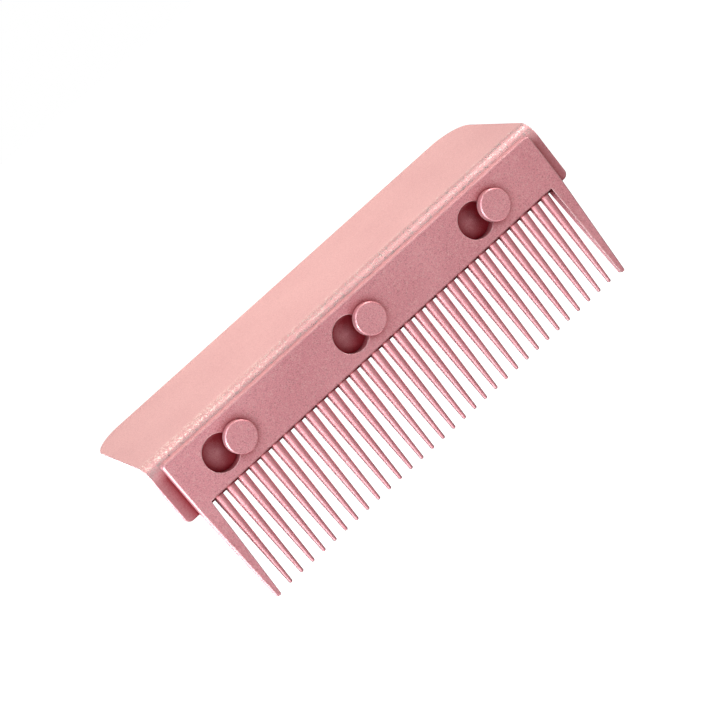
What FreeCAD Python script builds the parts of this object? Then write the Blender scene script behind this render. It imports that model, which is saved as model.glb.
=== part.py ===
import FreeCAD, Part
import math
import os

# A comb attachment for a hair straightener. A bent metal bracket sticks to the straightener's arm, and a
# toothed comb hangs on three headed studs on the bracket's flange. X runs along the comb, Z is up, and the
# comb faces -Y with its teeth down. The origin is where the middle stud's axis meets the flange's inner face.
# All sizes are in millimetres.

# Comb
COMB_LENGTH = 115.0
COMB_HEIGHT = 13.2             # the plate above the teeth
COMB_THICKNESS = 3.0
COMB_CORNER_RADIUS = 1.0
COMB_EDGE_BREAK = 0.25         # bevel along the front face's outline

# Round teeth
PIN_COUNT = 31
PIN_ROOT_DIAMETER = 2.5
PIN_TIP_DIAMETER = 0.95
PIN_LENGTH = 26.5
TANG_DIAMETER = 1.9            # the spigot brazed into the comb's lower edge
TANG_LENGTH = 1.5
BRAZE_GAP = 0.02               # all round the tang, and beyond its end

# Flat guard teeth, one at each end of the comb and one piece with it
GUARD_LENGTH = 26.7
GUARD_ROOT_WIDTH = 3.45
GUARD_TIP_WIDTH = 1.25
GUARD_TIP_THICKNESS = 1.3
GUARD_LEAN = 0.95              # how far the outer edge comes in, from root to tip
GUARD_TIP_ROUNDING = 0.45

# Studs and keyholes
STUD_END_DISTANCE = 17.5       # from the comb's end to the outer stud's axis
NECK_DIAMETER = 4.5            # the part of the stud that runs in the keyhole's slot
NECK_CLEARANCE = 0.05          # radial, neck in slot
HEAD_DIAMETER = 7.7
HEAD_THICKNESS = 2.3
HEAD_BEVEL = 0.25
HEAD_CLEARANCE = 0.6           # radial, head through the keyhole's round end
HEAD_GAP = 0.1                 # between the head's underside and the comb
RELEASE_TRAVEL = 5.4           # from the slot's closed end to the round end's centre
TENON_DIAMETER = 3.2           # the part of the stud that is riveted through the flange
TENON_CLEARANCE = 0.02
TAIL_DIAMETER = 5.0            # the flush riveted tail on the flange's inner face
TAIL_DEPTH = 0.9

# Bracket
SHEET = 2.0
BRACKET_OVERHANG = 3.25        # past each end of the comb
PLATE_REACH = 37.6             # from the flange's inner face to the plate's rear edge
BEND_OPENING = 5.8             # degrees by which the bend is wider than a right angle
BEND_INNER_RADIUS = 2.2
CORNER_RISE = 1.5              # from the comb's top edge to where the bend's outer faces would meet
FLANGE_DROP = 1.2              # from the comb's lower edge to the flange's lower edge
PLATE_CORNER_RADIUS = 8.5
FLANGE_CORNER_RADIUS = 1.5
SHEET_EDGE_BREAK = 0.3
SKIN_TO_RIM = 1.2              # a face wider than this many sheet thicknesses is skin, not rim
COMB_SEAT_GAP = 0.05           # between the comb's back and the flange

# Adhesive pad
PAD_THICKNESS = 1.0
PAD_MARGIN = 4.0               # from the bend, the rear edge and the plate's two ends
PAD_CORNER_RADIUS = 5.0

SAME_PLACE = 1e-6              # two positions closer than this are one

# Places worked out from the sizes above
flange_front = -SHEET
comb_back = flange_front - COMB_SEAT_GAP
comb_front = comb_back - COMB_THICKNESS
comb_middle = (comb_back + comb_front) / 2
comb_top = COMB_HEIGHT / 2
comb_bottom = -COMB_HEIGHT / 2
half_comb = COMB_LENGTH / 2
half_bracket = half_comb + BRACKET_OVERHANG
tooth_span = COMB_LENGTH - 2 * GUARD_ROOT_WIDTH
pin_pitch = (tooth_span + PIN_ROOT_DIAMETER) / (PIN_COUNT + 1)
stud_spacing = half_comb - STUD_END_DISTANCE
keyhole_radius = HEAD_DIAMETER / 2 + HEAD_CLEARANCE
slot_radius = NECK_DIAMETER / 2 + NECK_CLEARANCE
opening = math.radians(BEND_OPENING)


def point(x, y, z):
    return FreeCAD.Vector(x, y, z)


def export(name, shape):
    """Write one piece to its own STEP file."""
    shape.exportStep("parts/" + name + ".step")


def bar_along_y(radius, y_from, y_to, x=0.0):
    """A round bar parallel to Y, on the studs' height."""
    return Part.makeCylinder(radius, y_to - y_from, point(x, y_from, 0), point(0, 1, 0))


def cone_along_y(radius_from, radius_to, y_from, y_to, x=0.0):
    return Part.makeCone(radius_from, radius_to, y_to - y_from, point(x, y_from, 0), point(0, 1, 0))


# ---------------------------------------------------------------- comb

def comb_plate():
    """The comb's flat back, with rounded upper corners and a bevel round the front face's three free edges."""
    plate = Part.makeBox(COMB_LENGTH, COMB_THICKNESS, COMB_HEIGHT, point(-half_comb, comb_front, comb_bottom))
    corners = [edge for edge in plate.Edges if is_upper_corner(edge)]
    plate = plate.makeFillet(COMB_CORNER_RADIUS, corners)
    outline = [edge for edge in plate.Edges if is_front_outline(edge)]
    return plate.makeChamfer(COMB_EDGE_BREAK, outline)


def is_upper_corner(edge):
    box = edge.BoundBox
    return box.XLength < SAME_PLACE and box.ZLength < SAME_PLACE and box.ZMin > comb_top - SAME_PLACE


def is_front_outline(edge):
    """The front face's edges, apart from the lower one that the teeth stand on."""
    box = edge.BoundBox
    on_front = box.YLength < SAME_PLACE and abs(box.YMin - comb_front) < SAME_PLACE
    return on_front and box.ZMax > comb_bottom + SAME_PLACE


def guard_section(side, outer, width, thickness, z):
    """A guard tooth's rectangular section, with the plate's bevel on its outer front corner."""
    inner = outer - side * width
    front = comb_middle - thickness / 2
    back = comb_middle + thickness / 2
    corners = [
        point(inner, front, z),
        point(outer - side * COMB_EDGE_BREAK, front, z),
        point(outer, front + COMB_EDGE_BREAK, z),
        point(outer, back, z),
        point(inner, back, z),
        point(inner, front, z),
    ]
    return Part.makePolygon(corners)


def guard_tooth(side):
    """A flat tooth that tapers in width and in thickness, from the plate's full section to its rounded tip."""
    tip_z = comb_bottom - GUARD_LENGTH
    outer = side * half_comb
    root = guard_section(side, outer, GUARD_ROOT_WIDTH, COMB_THICKNESS, comb_bottom)
    tip = guard_section(side, outer - side * GUARD_LEAN, GUARD_TIP_WIDTH, GUARD_TIP_THICKNESS, tip_z)
    tooth = Part.makeLoft([root, tip], True, True)
    tip_edges = [edge for edge in tooth.Edges if is_broad_tip_edge(edge, tip_z)]
    return tooth.makeFillet(GUARD_TIP_ROUNDING, tip_edges)


def is_broad_tip_edge(edge, tip_z):
    """The two tip edges that run through the tooth's thickness."""
    box = edge.BoundBox
    return box.ZMax < tip_z + SAME_PLACE and box.XLength < SAME_PLACE


def keyhole(x):
    """A round end that passes a stud's head, and a slot towards +X that holds its neck."""
    y_from = comb_front - COMB_THICKNESS
    y_to = comb_back + COMB_THICKNESS
    round_end = bar_along_y(keyhole_radius, y_from, y_to, x - RELEASE_TRAVEL)
    slot_end = bar_along_y(slot_radius, y_from, y_to, x)
    slot = Part.makeBox(
        RELEASE_TRAVEL, y_to - y_from, 2 * slot_radius, point(x - RELEASE_TRAVEL, y_from, -slot_radius)
    )
    return round_end.fuse([slot_end, slot]).removeSplitter()


def pin_socket(x):
    depth = TANG_LENGTH + BRAZE_GAP
    radius = TANG_DIAMETER / 2 + BRAZE_GAP
    return Part.makeCylinder(radius, depth, point(x, comb_middle, comb_bottom))


def comb_spine():
    body = comb_plate().fuse([guard_tooth(-1), guard_tooth(1)]).removeSplitter()
    cuts = [keyhole(x) for x in stud_places()]
    cuts += [pin_socket(x) for x in pin_places()]
    return body.cut(cuts)


def pin(x):
    """A round tapered tooth with a shoulder under the comb, a tang above it and a domed tip."""
    root_radius = PIN_ROOT_DIAMETER / 2
    tip_radius = PIN_TIP_DIAMETER / 2
    taper_length = PIN_LENGTH - tip_radius
    tip_centre = comb_bottom - taper_length
    down = point(0, 0, -1)
    taper = Part.makeCone(root_radius, tip_radius, taper_length, point(x, comb_middle, comb_bottom), down)
    dome = Part.makeSphere(tip_radius, point(x, comb_middle, tip_centre), down, 0, 90, 360)
    tang = Part.makeCylinder(TANG_DIAMETER / 2, TANG_LENGTH, point(x, comb_middle, comb_bottom))
    return taper.fuse([dome, tang]).removeSplitter()


def pin_places():
    first = -pin_pitch * (PIN_COUNT - 1) / 2
    return [first + index * pin_pitch for index in range(PIN_COUNT)]


# ---------------------------------------------------------------- studs

def stud_places():
    return [-stud_spacing, 0.0, stud_spacing]


def stud(x):
    """Head, neck through the comb, tenon through the flange, and a tail riveted flush."""
    head_back = comb_front - HEAD_GAP
    head_front = head_back - HEAD_THICKNESS
    head_radius = HEAD_DIAMETER / 2
    bevel_end = head_front + HEAD_BEVEL
    bevel = cone_along_y(head_radius - HEAD_BEVEL, head_radius, head_front, bevel_end, x)
    head = bar_along_y(head_radius, bevel_end, head_back, x)
    neck = bar_along_y(NECK_DIAMETER / 2, head_back, flange_front, x)
    tenon = bar_along_y(TENON_DIAMETER / 2, flange_front, 0, x)
    tail = cone_along_y(TENON_DIAMETER / 2, TAIL_DIAMETER / 2, -TAIL_DEPTH, 0, x)
    return bevel.fuse([head, neck, tenon, tail]).removeSplitter()


def stud_hole(x):
    """The countersunk hole in the flange that a stud is riveted into."""
    radius = TENON_DIAMETER / 2 + TENON_CLEARANCE
    mouth = TAIL_DIAMETER / 2 + TENON_CLEARANCE
    hole = bar_along_y(radius, flange_front - SHEET, SHEET, x)
    countersink = cone_along_y(radius, mouth, -TAIL_DEPTH, 0, x)
    return hole.fuse([countersink])


# ---------------------------------------------------------------- bracket

corner_z = comb_top + CORNER_RISE


def plate_z(y, depth):
    """The height at y of the plane that lies this deep under the plate's top face."""
    return corner_z + (y - flange_front) * math.tan(opening) - depth / math.cos(opening)


def bent_sheet():
    """The L-shaped sheet, as its end profile drawn with sharp corners and drawn out along X."""
    low = comb_bottom - FLANGE_DROP
    rear_top = plate_z(PLATE_REACH, 0)
    rear_low_y = PLATE_REACH + SHEET * math.sin(opening)
    rear_low_z = rear_top - SHEET * math.cos(opening)
    corners = [
        point(-half_bracket, flange_front, low),
        point(-half_bracket, flange_front, corner_z),
        point(-half_bracket, PLATE_REACH, rear_top),
        point(-half_bracket, rear_low_y, rear_low_z),
        point(-half_bracket, 0, plate_z(0, SHEET)),
        point(-half_bracket, 0, low),
        point(-half_bracket, flange_front, low),
    ]
    profile = Part.Face(Part.makePolygon(corners))
    return profile.extrude(point(2 * half_bracket, 0, 0))


def edges_near(shape, y, z, tolerance=0.01):
    """The edges whose middle lies at this height and depth, whatever its X."""
    found = []
    for edge in shape.Edges:
        middle = edge.CenterOfMass
        if abs(middle.y - y) < tolerance and abs(middle.z - z) < tolerance:
            found.append(edge)
    return found


def skin_outline(shape):
    """Every edge where one of the sheet's two skins meets its rim."""
    skin_edges = [edge for face in shape.Faces if is_skin(face) for edge in face.Edges]
    rim_edges = [edge for face in shape.Faces if not is_skin(face) for edge in face.Edges]
    return [edge for edge in skin_edges if any(edge.isSame(other) for other in rim_edges)]


def is_skin(face):
    """True for the flats and the bends, which are long and wider than the sheet is thick."""
    length = face.BoundBox.XLength
    return length > half_bracket and face.Area > SKIN_TO_RIM * SHEET * length


def bracket():
    sheet = bent_sheet()
    sheet = sheet.makeFillet(BEND_INNER_RADIUS + SHEET, edges_near(sheet, flange_front, corner_z))
    sheet = sheet.makeFillet(BEND_INNER_RADIUS, edges_near(sheet, 0, plate_z(0, SHEET)))
    rear_y = PLATE_REACH + SHEET * math.sin(opening) / 2
    rear_z = plate_z(PLATE_REACH, 0) - SHEET * math.cos(opening) / 2
    sheet = sheet.makeFillet(PLATE_CORNER_RADIUS, edges_near(sheet, rear_y, rear_z))
    sheet = sheet.makeFillet(FLANGE_CORNER_RADIUS, edges_near(sheet, flange_front / 2, comb_bottom - FLANGE_DROP))
    sheet = sheet.makeFillet(SHEET_EDGE_BREAK, skin_outline(sheet))
    return sheet.cut([stud_hole(x) for x in stud_places()])


def adhesive_pad():
    """A pad on the plate's underside, drawn flat and then turned to the plate's slope."""
    from_y = (BEND_INNER_RADIUS + PAD_MARGIN) / math.cos(opening)
    to_y = (PLATE_REACH - PAD_MARGIN) / math.cos(opening)
    half_length = half_bracket - PAD_MARGIN
    pad = Part.makeBox(
        2 * half_length, to_y - from_y, PAD_THICKNESS, point(-half_length, from_y, -PAD_THICKNESS)
    )
    corners = [edge for edge in pad.Edges if edge.BoundBox.ZLength > PAD_THICKNESS / 2]
    pad = pad.makeFillet(PAD_CORNER_RADIUS, corners)
    pad.rotate(point(0, 0, 0), point(1, 0, 0), BEND_OPENING)
    pad.translate(point(0, 0, plate_z(0, SHEET)))
    return pad


def build():
    os.makedirs("parts", exist_ok=True)
    export("bracket", bracket())
    export("adhesive_pad", adhesive_pad())
    for index, x in enumerate(stud_places(), start=1):
        export("stud_%d" % index, stud(x))
    export("comb_spine", comb_spine())
    for index, x in enumerate(pin_places(), start=1):
        export("pin_%02d" % index, pin(x))


build()
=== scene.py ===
import math

import bmesh
import bpy
from mathutils import Matrix, Vector


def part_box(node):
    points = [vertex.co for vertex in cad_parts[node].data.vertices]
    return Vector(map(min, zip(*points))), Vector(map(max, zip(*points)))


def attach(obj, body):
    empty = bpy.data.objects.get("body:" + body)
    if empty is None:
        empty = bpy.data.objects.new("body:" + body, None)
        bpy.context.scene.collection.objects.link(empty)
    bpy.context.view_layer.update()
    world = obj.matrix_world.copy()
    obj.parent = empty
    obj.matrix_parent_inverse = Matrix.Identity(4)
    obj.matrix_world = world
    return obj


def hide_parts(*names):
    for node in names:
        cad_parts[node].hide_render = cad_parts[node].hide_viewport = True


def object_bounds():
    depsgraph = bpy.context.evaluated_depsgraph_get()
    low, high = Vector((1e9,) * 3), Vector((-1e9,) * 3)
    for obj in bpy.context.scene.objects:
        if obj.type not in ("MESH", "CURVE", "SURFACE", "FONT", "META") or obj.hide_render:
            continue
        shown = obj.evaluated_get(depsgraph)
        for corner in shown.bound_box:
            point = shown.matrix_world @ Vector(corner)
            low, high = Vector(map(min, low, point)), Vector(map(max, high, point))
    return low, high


# A comb attachment for a hair straightener, in satin rose-anodised aluminium, on a plain white stage.

MM = 0.001

# The camera: where its axis meets the comb's front face, and how it is turned.
AIM_X = -7.55 * MM
AIM_Z = -5.81 * MM
CAMERA_DISTANCE = 511.9 * MM
CAMERA_AZIMUTH = math.radians(-14.85)
CAMERA_ELEVATION = math.radians(12.82)
CAMERA_ROLL = math.radians(39.22)
CAMERA_LENS = 113.8
SENSOR_WIDTH = 36.0

# The adhesive pad under the plate, as the CAD makes it.
BEND_OPENING = math.radians(5.8)
PAD_THICKNESS = 1.0 * MM
PAD_CORNER = 5.0 * MM
PAD_EDGE = 0.3 * MM
PAD_CROWN = 0.05 * MM          # how much thicker its middle is than its rim
PAD_DRAFT = 0.02 * MM          # how far its cut wall leans in
PAD_EDGE_STEPS = 4
FOAM_DARK = (0.60, 0.57, 0.55)
FOAM_PALE = (0.80, 0.77, 0.74)
FOAM_CELL = 0.35 * MM
FOAM_MOTTLE = 6 * MM
FOAM_RELIEF = 0.03 * MM

FLOOR_DROP = 0.25              # the stage, in metres below the teeth
FLOOR_SIZE = 12.0
FLOOR_COLOUR = (0.9, 0.9, 0.9)
WHITE = (1.0, 1.0, 1.0)

# The soft round lights: azimuth and elevation in degrees round the object, width in metres, colour, and
# power in watts.
LIGHT_DISTANCE = 0.75
LIGHTS = {
    "front_low": (26, -13, 0.4, (1.00, 0.88, 0.86), 0.34),
    "front": (-21, 0, 0.5, (0.95, 1.00, 1.00), 1.8),
    "front_left_high": (-50, 48, 0.4, (0.80, 0.94, 1.00), 2.05),
    "front_left_low": (-55, -25, 0.4, (0.87, 1.00, 0.98), 1.85),
    "front_right": (60, 20, 0.4, (1.0, 0.97, 0.93), 2.1),
    "left": (-90, 5, 0.4, (0.66, 1.00, 1.00), 11.5),
    "back_left": (-140, 5, 0.4, (0.80, 1.00, 1.00), 4.6),
    "back_high": (180, 55, 0.4, (1.00, 0.98, 0.82), 0.50),
    "back_top": (163, 24, 0.4, (1.00, 0.98, 0.84), 0.63),
    "top": (0, 88, 0.4, (0.97, 1.00, 0.86), 0.90),
    "top_right": (90, 50, 0.4, (0.95, 1.00, 0.95), 2.2),
    "below": (0, -75, 0.4, (1.00, 1.00, 1.00), 1.5),
}
AMBIENT = (0.9, 1.0, 1.0)
AMBIENT_STRENGTH = 0.12

# The rose metal. Colours are linear. A zone's pair of lengths is where it is 0 and where it is 1.
METALLIC = 0.75
SPECULAR_LEVEL = 0.2
DEEP = (0.66, 0.235, 0.27)     # in the blasted pits
PALE = (0.90, 0.41, 0.445)     # between them
LIT_BRACKET_DEEP = (0.765, 0.372, 0.392)    # the same two for the bracket, paler as painted light for its top plate under the top lamps
LIT_BRACKET_PALE = (0.865, 0.460, 0.470)
FLANGE_SHADE = (0.54, 0.18, 0.21)    # and painted shade for its flange, which the comb shades
BRIGHT_METAL_AND_HIGHLIGHT = (0.99, 0.80, 0.78)     # bare bright metal for the light flecks, and the colour of the painted highlights on edges and along the bend
SHADE_AND_DARK_SPECK = (0.26, 0.02, 0.03)    # painted shade where other surfaces close a place in, and painted shadow at the pins' roots; also the dark flecks
FLANGE_DEPTH = 0.62            # how far the flange's painted shade takes over from the plate's colour
FLANGE_FLECKS = 4.0            # how much stronger its flecks are
PLATE_RECESS = 0.15            # how much of the painted recess shade the plate and bend take
DRIFT_SIZE = 14 * MM           # of the slow drift of the dye
DRIFT_SHARE = 0.3              # and its strength beside the pits
FLECK_SHARE = 0.14             # of the surface, for light and for dark flecks
LIGHT_FLECK_SIZE = 0.9         # these three in grains
DARK_FLECK_SIZE = 1.2
BEND_FLECK_SIZE = 1.1
# The bend's flecks are painted glints along the bend, where the top lamps' highlight falls.
BEND_FLECK_SHARE = 0.3
BEND_MIDDLE = -0.1 * MM        # along Y
BEND_WIDTH = (2.8 * MM, 1.2 * MM)    # on each side of its middle
BEND_FOOT = (4.0 * MM, 6.0 * MM)     # along Z
BEND_SPARKLE = 0.5
FLANGE_TOP = (6.0 * MM, 3.0 * MM)
PLAIN_RELIEF = 0.6             # factors on the pits' depth: on the plate and flange, and in the bend
BEND_RELIEF = 1.4
ROOT_SHADOW_HEIGHT = -6.7 * MM        # of the painted shadow line under the comb's lower edge, where the pins enter the comb
ROOT_SHADOW_WIDTH = (0.45 * MM, 0.15 * MM)
ROOT_SHADOW_END = (53.0 * MM, 52.4 * MM)    # along X, on both sides
OPEN_SHARE = 0.95              # a place this open to its surroundings counts as fully open
RECESS_CURVE = 1.1
TONE_RANGE = (0.45, 0.85)      # of the pits and the drift together, from deep to pale
PIT_RANGE = (0.35, 0.65)
ROUGHNESS_SWING = 0.05         # each way, between the pits and the ground
FLECK_GLOSS = 0.5              # how much smoother a light fleck is
SHARP_EDGE = 0.75              # the cosine at which an edge counts as fully sharp
FINISHES = {
    # Painted light: the bracket takes the paler pair of colours.
    "bracket": dict(
        deep=LIT_BRACKET_DEEP, pale=LIT_BRACKET_PALE, roughness=0.55, grain=0.26 * MM, grain_depth=0.014 * MM,
        reach=4.5 * MM, shut=0.52, edge_radius=0.20 * MM, edge_highlight=0.12, flecks=0.06, seam=0.0, bent=True,
    ),
    "comb": dict(
        deep=DEEP, pale=PALE, roughness=0.50, grain=0.24 * MM, grain_depth=0.017 * MM,
        reach=2.6 * MM, shut=0.45, edge_radius=0.42 * MM, edge_highlight=0.60, flecks=0.20, seam=0.6, bent=False,
    ),
    "stud": dict(
        deep=DEEP, pale=PALE, roughness=0.50, grain=0.22 * MM, grain_depth=0.015 * MM,
        reach=1.5 * MM, shut=0.15, edge_radius=0.08 * MM, edge_highlight=0.0, flecks=0.20, seam=0.0, bent=False,
    ),
    "pin": dict(
        deep=DEEP, pale=PALE, roughness=0.40, grain=0.18 * MM, grain_depth=0.010 * MM,
        reach=1.5 * MM, shut=0.30, edge_radius=0.08 * MM, edge_highlight=0.1, flecks=0.16, seam=0.8, bent=False,
    ),
}

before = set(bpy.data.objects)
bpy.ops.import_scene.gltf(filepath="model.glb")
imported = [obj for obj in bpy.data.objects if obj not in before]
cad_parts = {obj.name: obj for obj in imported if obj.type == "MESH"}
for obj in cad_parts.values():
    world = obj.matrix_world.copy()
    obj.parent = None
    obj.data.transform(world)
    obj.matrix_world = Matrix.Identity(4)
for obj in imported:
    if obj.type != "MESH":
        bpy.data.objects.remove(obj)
cad_low, cad_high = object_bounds()
comb_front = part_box("comb_spine")[0].y


def direction(azimuth, elevation):
    """The way from the object towards a place round it. Azimuth 0 is in front, and grows towards +X."""
    flat = math.cos(elevation)
    return Vector((math.sin(azimuth) * flat, -math.cos(azimuth) * flat, math.sin(elevation)))


def facing(place, towards, up):
    """A matrix at place whose +Z points along towards, and whose +Y is as near to up as possible."""
    right = up.cross(towards).normalized()
    true_up = towards.cross(right)
    matrix = Matrix.Identity(4)
    for row in range(3):
        matrix[row][0] = right[row]
        matrix[row][1] = true_up[row]
        matrix[row][2] = towards[row]
        matrix[row][3] = place[row]
    return matrix


def make_camera():
    towards = direction(CAMERA_AZIMUTH, CAMERA_ELEVATION)
    level = Vector((0, 0, 1)).cross(towards).normalized()
    upright = towards.cross(level)
    up = upright * math.cos(CAMERA_ROLL) + level * math.sin(CAMERA_ROLL)
    aim = Vector((AIM_X, comb_front, AIM_Z))
    data = bpy.data.cameras.new("camera")
    data.lens = CAMERA_LENS
    data.sensor_width = SENSOR_WIDTH
    data.clip_start = 0.01
    data.clip_end = 50
    camera = bpy.data.objects.new("camera", data)
    camera.matrix_world = facing(aim + towards * CAMERA_DISTANCE, towards, up)
    bpy.context.scene.collection.objects.link(camera)
    bpy.context.scene.camera = camera


def make_lights():
    centre = (cad_low + cad_high) / 2
    for name, (azimuth, elevation, width, colour, power) in LIGHTS.items():
        towards = direction(math.radians(azimuth), math.radians(elevation))
        data = bpy.data.lights.new(name, "AREA")
        data.shape = "DISK"
        data.size = width
        data.color = colour
        data.energy = power
        lamp = bpy.data.objects.new(name, data)
        lamp.matrix_world = facing(centre + towards * LIGHT_DISTANCE, towards, Vector((0, 0, 1)))
        bpy.context.scene.collection.objects.link(lamp)


def make_world():
    world = bpy.data.worlds.new("studio")
    world.use_nodes = True
    bpy.context.scene.world = world
    tree = world.node_tree
    seen = tree.nodes["Background"]
    seen.inputs["Color"].default_value = (*WHITE, 1)
    lit = tree.nodes.new("ShaderNodeBackground")
    lit.name = "ambient"
    lit.inputs["Color"].default_value = (*AMBIENT, 1)
    lit.inputs["Strength"].default_value = AMBIENT_STRENGTH
    ray = tree.nodes.new("ShaderNodeLightPath")
    mix = tree.nodes.new("ShaderNodeMixShader")
    tree.links.new(ray.outputs["Is Camera Ray"], mix.inputs[0])
    tree.links.new(lit.outputs[0], mix.inputs[1])
    tree.links.new(seen.outputs[0], mix.inputs[2])
    tree.links.new(mix.outputs[0], tree.nodes["World Output"].inputs["Surface"])


class Finish:
    """A Principled material and short calls for adding nodes to it. Lengths in the patterns are in metres."""

    def __init__(self, name):
        self.material = bpy.data.materials.new(name)
        self.material.use_nodes = True
        self.tree = self.material.node_tree
        self.shader = self.tree.nodes["Principled BSDF"]
        self.place = self.add("ShaderNodeTexCoord").outputs["Object"]

    def add(self, kind, **settings):
        node = self.tree.nodes.new(kind)
        for name, value in settings.items():
            setattr(node, name, value)
        return node

    def put(self, value, socket):
        """Links an output, or sets a plain value."""
        if isinstance(value, bpy.types.NodeSocket):
            self.tree.links.new(value, socket)
        elif isinstance(value, tuple):
            socket.default_value = (*value, 1) if len(value) == 3 and socket.type == "RGBA" else value
        else:
            socket.default_value = value

    def noise(self, feature, detail):
        """Soft noise whose blobs are about this long."""
        node = self.add("ShaderNodeTexNoise")
        self.put(self.place, node.inputs["Vector"])
        self.put(1 / feature, node.inputs["Scale"])
        self.put(detail, node.inputs["Detail"])
        return node.outputs["Fac"]

    def flecks(self, feature, share):
        """1 in this share of the cells of a pattern of this size, and 0 in the others."""
        cells = self.add("ShaderNodeTexVoronoi")
        self.put(self.place, cells.inputs["Vector"])
        self.put(1 / feature, cells.inputs["Scale"])
        split = self.add("ShaderNodeSeparateColor")
        self.put(cells.outputs["Color"], split.inputs["Color"])
        return self.math("GREATER_THAN", split.outputs["Red"], 1 - share)

    def math(self, operation, first, second):
        node = self.add("ShaderNodeMath", operation=operation)
        self.put(first, node.inputs[0])
        self.put(second, node.inputs[1])
        return node.outputs[0]

    def spread(self, value, low, high, to_low=0.0, to_high=1.0):
        """Value, stretched from low..high to to_low..to_high and held there."""
        node = self.add("ShaderNodeMapRange")
        self.put(value, node.inputs["Value"])
        self.put(low, node.inputs["From Min"])
        self.put(high, node.inputs["From Max"])
        self.put(to_low, node.inputs["To Min"])
        self.put(to_high, node.inputs["To Max"])
        return node.outputs["Result"]

    def mix(self, share, first, second):
        node = self.add("ShaderNodeMix", data_type="RGBA")
        self.put(share, node.inputs["Factor"])
        self.put(first, node.inputs["A"])
        self.put(second, node.inputs["B"])
        return node.outputs["Result"]

    def bump(self, height, depth, normal=None):
        node = self.add("ShaderNodeBump")
        self.put(height, node.inputs["Height"])
        self.put(1.0, node.inputs["Strength"])
        self.put(depth, node.inputs["Distance"])
        if normal is not None:
            self.put(normal, node.inputs["Normal"])
        return node.outputs["Normal"]

    def softened(self, radius):
        """The surface's normal with its sharp edges rounded off."""
        node = self.add("ShaderNodeBevel", samples=4)
        self.put(radius, node.inputs["Radius"])
        return node.outputs["Normal"]

    def along(self, axis):
        """The place along X, Y or Z, in metres."""
        split = self.add("ShaderNodeSeparateXYZ")
        self.put(self.place, split.inputs["Vector"])
        return split.outputs[axis]

    def recesses(self, reach, shut):
        """Painted shade for recesses: 0 in the open, growing to 1 where surfaces within reach leave only this
        share (shut) open.
        """
        node = self.add("ShaderNodeAmbientOcclusion", samples=8)
        self.put(reach, node.inputs["Distance"])
        recess_shade = self.spread(node.outputs["AO"], OPEN_SHARE, shut)
        return self.math("POWER", recess_shade, RECESS_CURVE)

    def seam(self):
        """Painted shadow under the comb's lower edge: 1 along that edge, where the pins enter it; 0 above,
        below and at the end teeth.
        """
        away = self.math("ABSOLUTE", self.math("SUBTRACT", self.along("Z"), ROOT_SHADOW_HEIGHT), 0.0)
        from_middle = self.math("ABSOLUTE", self.along("X"), 0.0)
        return self.math("MULTIPLY", self.spread(away, *ROOT_SHADOW_WIDTH), self.spread(from_middle, *ROOT_SHADOW_END))

    def flange_zone(self):
        """1 on the bracket's flange, fading to 0 in the bend."""
        return self.spread(self.along("Z"), *FLANGE_TOP)

    def bend_zone(self):
        """1 along the middle of the bracket's bend, fading to 0 towards the plate and the flange."""
        away = self.math("ABSOLUTE", self.math("SUBTRACT", self.along("Y"), BEND_MIDDLE), 0.0)
        return self.math("MULTIPLY", self.spread(away, *BEND_WIDTH), self.spread(self.along("Z"), *BEND_FOOT))

    def edges(self, rounded):
        """Near 0 on flat faces, and growing towards 1 on sharp edges."""
        true = self.add("ShaderNodeNewGeometry").outputs["Normal"]
        dot = self.add("ShaderNodeVectorMath", operation="DOT_PRODUCT")
        self.put(rounded, dot.inputs[0])
        self.put(true, dot.inputs[1])
        return self.spread(dot.outputs["Value"], 1.0, SHARP_EDGE)


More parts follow.
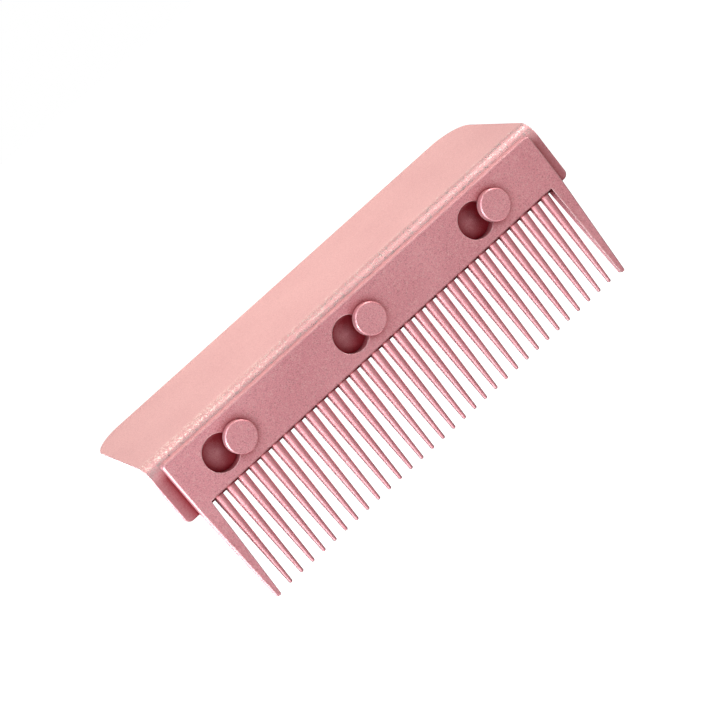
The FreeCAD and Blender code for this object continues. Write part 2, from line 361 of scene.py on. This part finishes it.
def rose_metal(
    name, deep, pale, roughness, grain, grain_depth, reach, shut, edge_radius, edge_highlight, flecks, seam, bent
):
    """Blasted and rose-anodised aluminium: pits, a drift of the dye and sparkle, with painted light and
    shade: painted highlights on the edges, painted glints along the bend, painted shade in recesses and on
    the flange, and a painted shadow line where the pins enter the comb.

    Grain is the pits' size, reach and shut say how the painted recess shade darkens, and the three strengths
    after edge_radius are of the painted edge highlight, of the flecks and of the painted shadow at the pins'
    roots.
    """
    finish = Finish(name)
    pits = finish.noise(grain, 3.0)
    drift = finish.math("MULTIPLY", finish.noise(DRIFT_SIZE, 1.0), DRIFT_SHARE)
    light_flecks = finish.math("MULTIPLY", finish.flecks(LIGHT_FLECK_SIZE * grain, FLECK_SHARE), flecks)
    dark_flecks = finish.math("MULTIPLY", finish.flecks(DARK_FLECK_SIZE * grain, FLECK_SHARE), flecks)
    relief = pits
    # Painted shade: darker where other surfaces close a place in.
    recess_shade = finish.recesses(reach, shut)
    if bent:
        flange = finish.flange_zone()
        stronger = finish.spread(flange, 0.0, 1.0, 1.0, FLANGE_FLECKS)
        recess_shade = finish.math("MULTIPLY", recess_shade, finish.spread(flange, 0.0, 1.0, PLATE_RECESS, 1.0))
        light_flecks = finish.math("MULTIPLY", light_flecks, stronger)
        dark_flecks = finish.math("MULTIPLY", dark_flecks, stronger)
        # Painted glints: bright flecks in a band along the bend, where the top lamps' highlight falls. The
        # band also deepens the pits' relief.
        bend_band = finish.bend_zone()
        sparkle = finish.math("MULTIPLY", finish.flecks(BEND_FLECK_SIZE * grain, BEND_FLECK_SHARE), bend_band)
        light_flecks = finish.math("MAXIMUM", light_flecks, finish.math("MULTIPLY", sparkle, BEND_SPARKLE))
        relief = finish.math("MULTIPLY", pits, finish.spread(bend_band, 0.0, 1.0, PLAIN_RELIEF, BEND_RELIEF))
    rounded = finish.softened(edge_radius)
    # Painted highlight: bright metal colour on the edges, where they catch the light.
    painted_edge_highlight = finish.math("MULTIPLY", finish.edges(rounded), edge_highlight)
    tone = finish.spread(finish.math("ADD", pits, drift), *TONE_RANGE)
    colour = finish.mix(tone, deep, pale)
    colour = finish.mix(light_flecks, colour, BRIGHT_METAL_AND_HIGHLIGHT)
    colour = finish.mix(dark_flecks, colour, SHADE_AND_DARK_SPECK)
    colour = finish.mix(painted_edge_highlight, colour, BRIGHT_METAL_AND_HIGHLIGHT)
    if bent:
        # Painted shade: the flange is darkened towards its shaded colour.
        colour = finish.mix(finish.math("MULTIPLY", flange, FLANGE_DEPTH), colour, FLANGE_SHADE)
    # Painted shadow: darker along the comb's lower edge and the pins' roots.
    if seam:
        colour = finish.mix(finish.math("MULTIPLY", finish.seam(), seam), colour, SHADE_AND_DARK_SPECK)
    # Painted shade in recesses, laid over everything else.
    colour = finish.mix(recess_shade, colour, SHADE_AND_DARK_SPECK)
    rough = finish.spread(pits, *PIT_RANGE, roughness + ROUGHNESS_SWING, roughness - ROUGHNESS_SWING)
    rough = finish.math("SUBTRACT", rough, finish.math("MULTIPLY", light_flecks, FLECK_GLOSS))
    finish.put(colour, finish.shader.inputs["Base Color"])
    finish.put(rough, finish.shader.inputs["Roughness"])
    finish.put(finish.bump(relief, grain_depth, rounded), finish.shader.inputs["Normal"])
    finish.put(METALLIC, finish.shader.inputs["Metallic"])
    finish.put(SPECULAR_LEVEL, finish.shader.inputs["Specular IOR Level"])
    return finish.material


def make_floor():
    """A plain white floor, too far below to shade the object or colour it."""
    half = FLOOR_SIZE / 2
    height = cad_low.z - FLOOR_DROP
    mesh = bmesh.new()
    corners = ((-half, -half), (half, -half), (half, half), (-half, half))
    mesh.faces.new([mesh.verts.new((x, y, height)) for x, y in corners])
    data = bpy.data.meshes.new("floor")
    mesh.to_mesh(data)
    mesh.free()
    floor = bpy.data.objects.new("floor", data)
    plain = Finish("floor_white")
    plain.put(FLOOR_COLOUR, plain.shader.inputs["Base Color"])
    plain.put(WHITE, plain.shader.inputs["Emission Color"])
    plain.put(1.0, plain.shader.inputs["Emission Strength"])
    floor.data.materials.append(plain.material)
    floor.visible_diffuse = False
    floor.visible_glossy = False
    floor.visible_shadow = False
    bpy.context.scene.collection.objects.link(floor)


def foam():
    """Closed-cell silicone foam: matt, pale grey, with a fine open texture and faint mottling."""
    finish = Finish("foam_grey")
    cells = finish.noise(FOAM_CELL, 4.0)
    mottle = finish.noise(FOAM_MOTTLE, 2.0)
    tone = finish.spread(finish.math("ADD", cells, mottle), 0.75, 1.25)
    finish.put(finish.mix(tone, FOAM_DARK, FOAM_PALE), finish.shader.inputs["Base Color"])
    finish.put(finish.spread(cells, 0.3, 0.7, 0.92, 0.78), finish.shader.inputs["Roughness"])
    finish.put(finish.bump(cells, FOAM_RELIEF), finish.shader.inputs["Normal"])
    return finish.material


def rounded_outline(half_x, half_y, radius, steps=10):
    """Points round a rectangle with rounded corners, anticlockwise from +X."""
    points = []
    for quarter in range(4):
        x_side = 1 if quarter in (0, 3) else -1
        y_side = 1 if quarter in (0, 1) else -1
        for step in range(steps + 1):
            angle = (quarter + step / steps) * math.pi / 2
            x = x_side * (half_x - radius) + radius * math.cos(angle)
            y = y_side * (half_y - radius) + radius * math.sin(angle)
            points.append((x, y))
    return points


def make_pad():
    """The foam pad: die-cut walls, a rounded lower edge and a slightly crowned face, on the plate's slope."""
    low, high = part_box("adhesive_pad")
    half_x = (high.x - low.x) / 2
    lean = PAD_THICKNESS * math.sin(BEND_OPENING)
    half_y = (high.y - low.y - lean) / math.cos(BEND_OPENING) / 2
    # Each ring is an inset from the pad's outline and a height under its glued face.
    rings = [(0.0, 0.0), (PAD_DRAFT, -0.4 * PAD_THICKNESS)]
    for step in range(PAD_EDGE_STEPS + 1):
        turn = step / PAD_EDGE_STEPS * math.pi / 2
        depth = PAD_THICKNESS - PAD_CROWN - PAD_EDGE * (1 - math.sin(turn))
        rings.append((PAD_EDGE * (1 - math.cos(turn)), -depth))
    for share in (0.3, 0.6, 0.85, 1.0):
        rings.append((PAD_EDGE + share * PAD_CORNER * 0.8, -PAD_THICKNESS + PAD_CROWN * (1 - share) ** 2))
    mesh = bmesh.new()
    loops = []
    for inset, z in rings:
        outline = rounded_outline(half_x - inset, half_y - inset, PAD_CORNER - inset)
        loops.append([mesh.verts.new((x, y, z)) for x, y in outline])
    for outer, inner in zip(loops, loops[1:]):
        for index in range(len(outer)):
            after = (index + 1) % len(outer)
            mesh.faces.new((outer[index], inner[index], inner[after], outer[after]))
    mesh.faces.new(loops[0])
    mesh.faces.new(list(reversed(loops[-1])))
    bmesh.ops.recalc_face_normals(mesh, faces=mesh.faces)
    for face in mesh.faces:
        face.smooth = len(face.verts) == 4
    # The pad's glued face goes through the CAD pad's highest edge, at the back.
    slope = Matrix.Rotation(BEND_OPENING, 4, "X")
    rear = slope @ Vector((0, half_y, 0))
    middle = Vector(((low.x + high.x) / 2, 0, 0))
    shift = Vector((0, high.y - lean - rear.y, high.z - rear.z))
    mesh.transform(Matrix.Translation(middle + shift) @ slope)
    data = bpy.data.meshes.new("foam_pad")
    mesh.to_mesh(data)
    mesh.free()
    pad = bpy.data.objects.new("foam_pad", data)
    pad.data.materials.append(foam())
    bpy.context.scene.collection.objects.link(pad)
    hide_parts("adhesive_pad")
    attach(pad, "bracket_assembly")


def finish_nodes():
    """Gives each CAD node the finish of its kind, which is the first word of its name."""
    materials = {kind: rose_metal("rose_blasted_" + kind, **settings) for kind, settings in FINISHES.items()}
    for name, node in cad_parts.items():
        kind = name.split("_")[0]
        if kind in materials:
            for slot in node.material_slots:
                slot.material = materials[kind]


make_camera()
make_lights()
make_world()
make_floor()
make_pad()
finish_nodes()
bpy.context.scene.view_settings.view_transform = "Standard"
